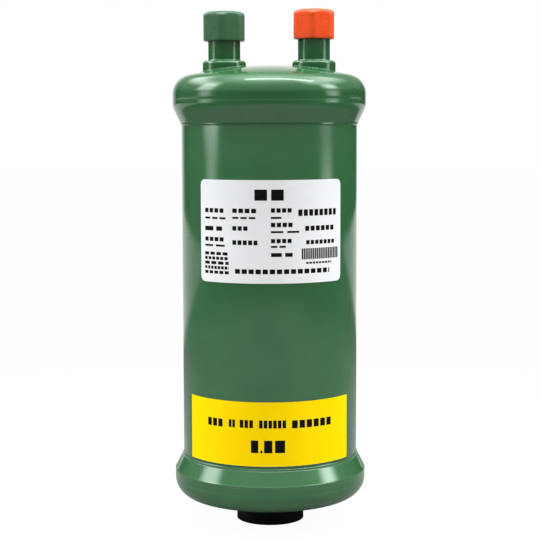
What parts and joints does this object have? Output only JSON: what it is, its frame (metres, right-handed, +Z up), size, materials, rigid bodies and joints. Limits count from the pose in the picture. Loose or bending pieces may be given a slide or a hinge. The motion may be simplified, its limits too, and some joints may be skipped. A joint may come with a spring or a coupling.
{
  "type": "refrigeration oil separator",
  "caption": "Upright brazed steel oil separator with dished heads, capped inlet and outlet necks on top, labels on the shell and a float valve that returns oil through the base.",
  "frame": {"origin": "on the floor, under the middle of the base cap", "axes": "+Z up along the shell, the labels face -Y, the inlet neck is on +X and the outlet neck on -X"},
  "size_m": [0.077, 0.077, 0.2054],
  "materials": {
    "green_paint": "glossy",
    "orange_plastic": "fine sandy texture",
    "green_plastic": "fine sandy texture",
    "black_plastic": "matte",
    "white_label": "satin",
    "yellow_label": "satin",
    "bright_steel": "bright",
    "valve_brass": "turned",
    "ferrite": "matte"
  },
  "bodies": {
    "vessel": {"shell_tube": "green_paint", "top_head": "green_paint", "bottom_head": "green_paint", "top_braze": "green_paint", "bottom_braze": "green_paint", "inlet_socket": "green_paint", "outlet_socket": "green_paint", "inlet_weld": "green_paint", "outlet_weld": "green_paint", "return_spud": "green_paint", "spud_weld": "green_paint", "nameplate_label": "white_label", "charge_label": "yellow_label", "inlet_tube": "bright_steel", "inlet_screen": "bright_steel", "inlet_screen_top": "bright_steel", "inlet_screen_base": "bright_steel", "outlet_tube": "bright_steel", "outlet_screen": "bright_steel", "outlet_screen_top": "bright_steel", "outlet_screen_base": "bright_steel", "baffle_plate": "bright_steel", "valve_seat": "bright_steel", "pivot_pin": "bright_steel", "valve_body": "valve_brass", "sump_magnet": "ferrite"},
    "inlet_cap": {"inlet_cap": "orange_plastic"},
    "outlet_cap": {"outlet_cap": "green_plastic"},
    "base_cap": {"base_cap": "black_plastic"},
    "float": {"float_arm": "bright_steel", "float_lower_shell": "bright_steel", "float_upper_shell": "bright_steel"},
    "needle": {"valve_needle": "bright_steel"}
  },
  "joints": [
    {"name": "inlet_cap_pull", "type": "slide", "parent": "vessel", "child": "inlet_cap", "axis": [0, 0, 1], "range_m": [0, 0.06]},
    {"name": "outlet_cap_pull", "type": "slide", "parent": "vessel", "child": "outlet_cap", "axis": [0, 0, 1], "range_m": [0, 0.06]},
    {"name": "base_cap_pull", "type": "slide", "parent": "vessel", "child": "base_cap", "axis": [0, 0, -1], "range_m": [0, 0.06]},
    {"name": "float_swing", "type": "hinge", "parent": "vessel", "child": "float", "pos_m": [-0.011, 0, 0.03232], "axis": [0, -1, 0], "range_deg": [0, 15]},
    {"name": "needle_lift", "type": "slide", "parent": "vessel", "child": "needle", "axis": [0, 0, 1], "range_m": [0, 0.003]}
  ],
  "couplings": [
    {"joint": "needle_lift", "follows": "float_swing", "m_per_rad": 0.011}
  ]
}
